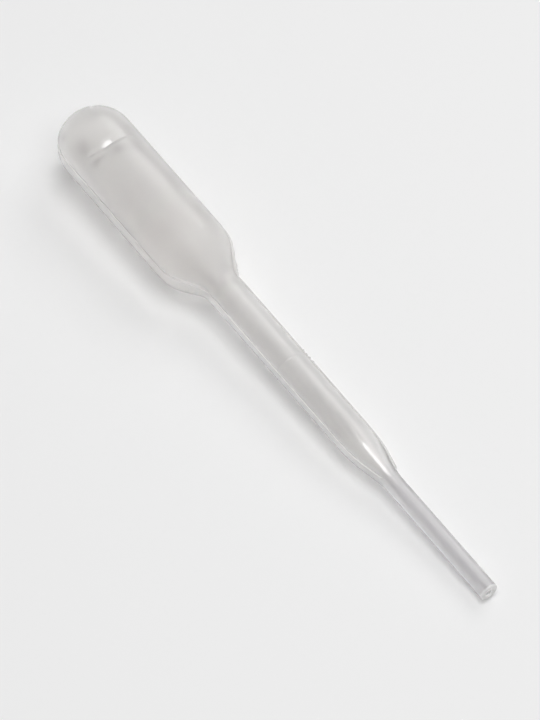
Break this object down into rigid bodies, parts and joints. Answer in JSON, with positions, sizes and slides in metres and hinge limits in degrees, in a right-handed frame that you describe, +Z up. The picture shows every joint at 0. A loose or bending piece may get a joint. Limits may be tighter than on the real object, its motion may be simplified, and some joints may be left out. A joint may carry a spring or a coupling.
{
  "type": "dropper pipette",
  "caption": "Soft moulded dropper pipette with a domed squeeze bulb, a slim hollow stem and an open straight tip.",
  "frame": {"origin": "on the ground, under the middle of the bounding box, with the piece lying on its side at rest", "axes": "+X along the piece from bulb to tip, level; +Z up; the piece's own axis dips 3.6 degrees towards the tip"},
  "size_m": [0.1076, 0.0128, 0.0142],
  "materials": {
    "polyethylene": "translucent milky low-density polyethylene, satin on the bulb and glossier towards the tip"
  },
  "bodies": {
    "root": {"pipette": "polyethylene"}
  },
  "joints": []
}
